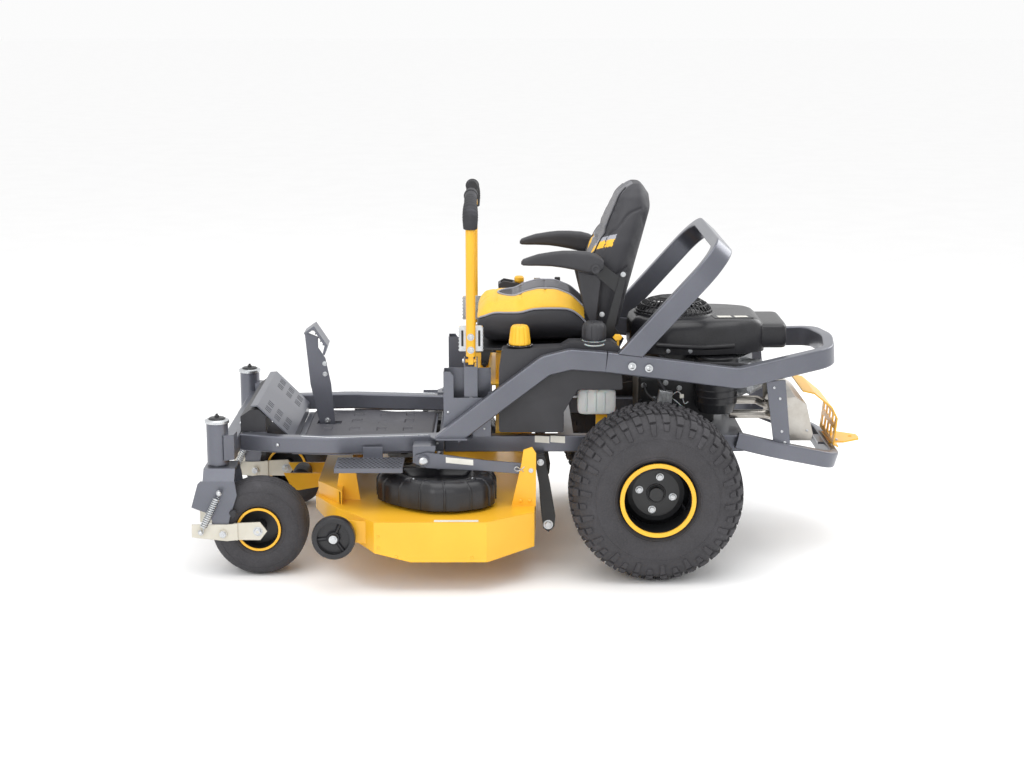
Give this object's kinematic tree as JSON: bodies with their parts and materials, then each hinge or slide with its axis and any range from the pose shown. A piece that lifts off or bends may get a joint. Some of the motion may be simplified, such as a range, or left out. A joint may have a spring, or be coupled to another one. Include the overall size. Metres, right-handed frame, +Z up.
{
  "type": "zero turn mower",
  "caption": "Ride-on lawn mower steered by twin levers, with an open front foot deck, high-back seat, belly cutting deck, rear engine and sprung front casters",
  "frame": {"origin": "middle of the machine's footprint on the ground", "axes": "+X to the rear of the machine, +Y to its right side, +Z up"},
  "size_m": [2.422, 1.617, 1.3584],
  "materials": {
    "charcoal_paint": "metallic charcoal powder coat, satin",
    "yellow_paint": "gloss yellow powder coat",
    "black_paint": "satin black enamel",
    "cream_paint": "pale warm grey coat",
    "black_plastic": "fine moulded texture",
    "yellow_plastic": "moulded, satin",
    "tank_plastic": "blow moulded, slightly glossy",
    "tyre_rubber": "matt moulded tread rubber",
    "soft_rubber": "matt ribbed rubber",
    "seat_vinyl": "grained vinyl with sewn panels",
    "zinc_steel": "bright zinc plate",
    "blade_steel": "hardened, black oxide",
    "cast_aluminium": "as cast"
  },
  "bodies": {
    "root": {"side_rails": "charcoal_paint", "main_frame": "charcoal_paint", "rear_bumper": "charcoal_paint", "seat_hoop": "charcoal_paint", "frame_bolts": "zinc_steel", "foot_deck": "charcoal_paint", "foot_mat": "soft_rubber", "front_cover": "black_plastic", "side_fenders": "black_plastic", "fuel_tank": "tank_plastic", "seat_platform": "yellow_paint", "engine_block": "black_paint", "cylinder_heads": "cast_aluminium", "engine_shroud": "black_plastic", "exhaust": "zinc_steel", "tow_guard": "yellow_paint", "transaxles": "cast_aluminium"},
    "fuel_cap": {"fuel_cap": "black_plastic"},
    "height_dial": {"height_dial": "yellow_plastic"},
    "pto_knob": {"pto_knob": "yellow_plastic"},
    "ignition_key": {"ignition_key": "zinc_steel"},
    "throttle_lever": {"throttle_lever": "black_plastic"},
    "seat": {"seat_frame": "black_paint", "seat_cushion": "seat_vinyl", "seat_back": "seat_vinyl"},
    "deck": {"deck_shell": "yellow_paint", "spindles": "cast_aluminium", "belt_covers": "black_plastic"},
    "blade_left": {"blade_left": "blade_steel"},
    "blade_right": {"blade_right": "blade_steel"},
    "blade_centre": {"blade_centre": "blade_steel"},
    "front_roller": {"front_roller": "black_plastic"},
    "discharge_chute": {"discharge_chute": "black_plastic"},
    "lift_pedal": {"lift_pedal": "charcoal_paint"},
    "lift_shaft": {"lift_shaft": "charcoal_paint"},
    "engine_pulley": {"engine_pulley": "zinc_steel"},
    "drive_wheel_left": {"drive_tyre_left": "tyre_rubber", "drive_rim_left": "black_paint"},
    "caster_fork_left": {"caster_fork_left": "charcoal_paint", "spring_left": "zinc_steel"},
    "swing_arm_left": {"swing_arm_left": "cream_paint"},
    "caster_wheel_left": {"caster_tyre_left": "tyre_rubber", "caster_rim_left": "black_paint"},
    "gauge_wheel_left": {"gauge_wheel_left": "black_plastic"},
    "lever_left": {"lever_base_left": "charcoal_paint"},
    "lap_bar_left": {"lap_bar_left": "yellow_paint", "grip_left": "soft_rubber"},
    "armrest_left": {"armrest_left": "black_plastic"},
    "drive_wheel_right": {"drive_tyre_right": "tyre_rubber", "drive_rim_right": "black_paint"},
    "caster_fork_right": {"caster_fork_right": "charcoal_paint", "spring_right": "zinc_steel"},
    "swing_arm_right": {"swing_arm_right": "cream_paint"},
    "caster_wheel_right": {"caster_tyre_right": "tyre_rubber", "caster_rim_right": "black_paint"},
    "gauge_wheel_right": {"gauge_wheel_right": "black_plastic"},
    "lever_right": {"lever_base_right": "charcoal_paint"},
    "lap_bar_right": {"lap_bar_right": "yellow_paint", "grip_right": "soft_rubber"},
    "armrest_right": {"armrest_right": "black_plastic"}
  },
  "joints": [
    {"name": "deck_lift", "type": "slide", "parent": "root", "child": "deck", "axis": [0, 0, 1], "range_m": [-0.07, 0.02]},
    {"name": "lift_shaft_turn", "type": "hinge", "parent": "root", "child": "lift_shaft", "pos_m": [-0.401, -0.0965, 0.412], "axis": [0, 1, 0], "range_deg": [-4, 12]},
    {"name": "pedal_turn", "type": "hinge", "parent": "root", "child": "lift_pedal", "pos_m": [-0.785, 0.0125, 0.384], "axis": [0, 1, 0], "range_deg": [-6, 19]},
    {"name": "crank_spin", "type": "hinge", "parent": "root", "child": "engine_pulley", "pos_m": [0.51, -0.0965, 0.4], "axis": [0, 0, 1], "continuous": true},
    {"name": "blade_spin_left", "type": "hinge", "parent": "deck", "child": "blade_left", "pos_m": [-0.304, -0.5415, 0.128], "axis": [0, 0, 1], "continuous": true},
    {"name": "blade_spin_right", "type": "hinge", "parent": "deck", "child": "blade_right", "pos_m": [-0.304, 0.3485, 0.128], "axis": [0, 0, 1], "continuous": true},
    {"name": "blade_spin_centre", "type": "hinge", "parent": "deck", "child": "blade_centre", "pos_m": [-0.494, -0.0965, 0.128], "axis": [0, 0, 1], "continuous": true},
    {"name": "roller_spin", "type": "hinge", "parent": "deck", "child": "front_roller", "pos_m": [-0.879, -0.0965, 0.236], "axis": [0, 1, 0], "continuous": true},
    {"name": "chute_lift", "type": "hinge", "parent": "deck", "child": "discharge_chute", "pos_m": [-0.179, 0.6065, 0.232], "axis": [1, 0, 0], "range_deg": [0, 80]},
    {"name": "seat_tilt", "type": "hinge", "parent": "root", "child": "seat", "pos_m": [-0.189, -0.0965, 0.704], "axis": [0, -1, 0], "range_deg": [0, 35]},
    {"name": "fuel_cap_twist", "type": "hinge", "parent": "root", "child": "fuel_cap", "pos_m": [0.199, -0.4215, 0.83], "axis": [0, 0, 1], "range_deg": [0, 120]},
    {"name": "height_dial_turn", "type": "hinge", "parent": "root", "child": "height_dial", "pos_m": [-0.063, -0.4265, 0.8], "axis": [0, 0, 1], "range_deg": [-150, 150]},
    {"name": "pto_pull", "type": "slide", "parent": "root", "child": "pto_knob", "axis": [0, 0, 1], "range_m": [0, 0.012]},
    {"name": "key_turn", "type": "hinge", "parent": "root", "child": "ignition_key", "pos_m": [0.011, 0.2995, 0.86], "axis": [0, 0, 1], "range_deg": [-90, 0]},
    {"name": "throttle_swing", "type": "hinge", "parent": "root", "child": "throttle_lever", "pos_m": [0.09, 0.2995, 0.838], "axis": [0, 1, 0], "range_deg": [-18, 18]},
    {"name": "drive_spin_left", "type": "hinge", "parent": "root", "child": "drive_wheel_left", "pos_m": [0.411, -0.5765, 0.305], "axis": [0, 1, 0], "continuous": true},
    {"name": "caster_swivel_left", "type": "hinge", "parent": "root", "child": "caster_fork_left", "pos_m": [-1.125, -0.5315, 0.45], "axis": [0, 0, 1], "continuous": true},
    {"name": "arm_swing_left", "type": "hinge", "parent": "caster_fork_left", "child": "swing_arm_left", "pos_m": [-1.102, -0.5315, 0.163], "axis": [0, -1, 0], "range_deg": [-4, 10], "stiffness_Nm_per_rad": 1500, "springref_deg": -2.86, "deforming": ["spring_left"]},
    {"name": "caster_spin_left", "type": "hinge", "parent": "swing_arm_left", "child": "caster_wheel_left", "pos_m": [-0.981, -0.5315, 0.17], "axis": [0, 1, 0], "continuous": true},
    {"name": "gauge_spin_left", "type": "hinge", "parent": "deck", "child": "gauge_wheel_left", "pos_m": [-0.701, -0.7815, 0.196], "axis": [0, 1, 0], "continuous": true},
    {"name": "lever_swing_left", "type": "hinge", "parent": "root", "child": "lever_left", "pos_m": [-0.236, -0.4345, 0.6], "axis": [0, 1, 0], "range_deg": [-16, 10]},
    {"name": "lap_bar_open_left", "type": "hinge", "parent": "lever_left", "child": "lap_bar_left", "pos_m": [-0.236, -0.4345, 0.74], "axis": [1, 0, 0], "range_deg": [0, 35]},
    {"name": "armrest_fold_left", "type": "hinge", "parent": "seat", "child": "armrest_left", "pos_m": [0.205, -0.3585, 1.059], "axis": [0, 1, 0], "range_deg": [0, 80]},
    {"name": "drive_spin_right", "type": "hinge", "parent": "root", "child": "drive_wheel_right", "pos_m": [0.411, 0.3835, 0.305], "axis": [0, 1, 0], "continuous": true},
    {"name": "caster_swivel_right", "type": "hinge", "parent": "root", "child": "caster_fork_right", "pos_m": [-1.125, 0.3385, 0.45], "axis": [0, 0, 1], "continuous": true},
    {"name": "arm_swing_right", "type": "hinge", "parent": "caster_fork_right", "child": "swing_arm_right", "pos_m": [-1.102, 0.3385, 0.163], "axis": [0, -1, 0], "range_deg": [-4, 10], "stiffness_Nm_per_rad": 1500, "springref_deg": -2.86, "deforming": ["spring_right"]},
    {"name": "caster_spin_right", "type": "hinge", "parent": "swing_arm_right", "child": "caster_wheel_right", "pos_m": [-0.981, 0.3385, 0.17], "axis": [0, 1, 0], "continuous": true},
    {"name": "gauge_spin_right", "type": "hinge", "parent": "deck", "child": "gauge_wheel_right", "pos_m": [-0.701, 0.5885, 0.196], "axis": [0, 1, 0], "continuous": true},
    {"name": "lever_swing_right", "type": "hinge", "parent": "root", "child": "lever_right", "pos_m": [-0.236, 0.2415, 0.6], "axis": [0, 1, 0], "range_deg": [-16, 10]},
    {"name": "lap_bar_open_right", "type": "hinge", "parent": "lever_right", "child": "lap_bar_right", "pos_m": [-0.236, 0.2415, 0.74], "axis": [-1, 0, 0], "range_deg": [0, 35]},
    {"name": "armrest_fold_right", "type": "hinge", "parent": "seat", "child": "armrest_right", "pos_m": [0.205, 0.1655, 1.059], "axis": [0, 1, 0], "range_deg": [0, 80]}
  ],
  "couplings": [
    {"joint": "lift_shaft_turn", "follows": "deck_lift", "rad_per_m": -2.8249},
    {"joint": "pedal_turn", "follows": "deck_lift", "rad_per_m": -4.5},
    {"joint": "blade_spin_left", "follows": "crank_spin", "ratio": 1.258},
    {"joint": "blade_spin_right", "follows": "crank_spin", "ratio": 1.258},
    {"joint": "blade_spin_centre", "follows": "crank_spin", "ratio": 1.258}
  ]
}
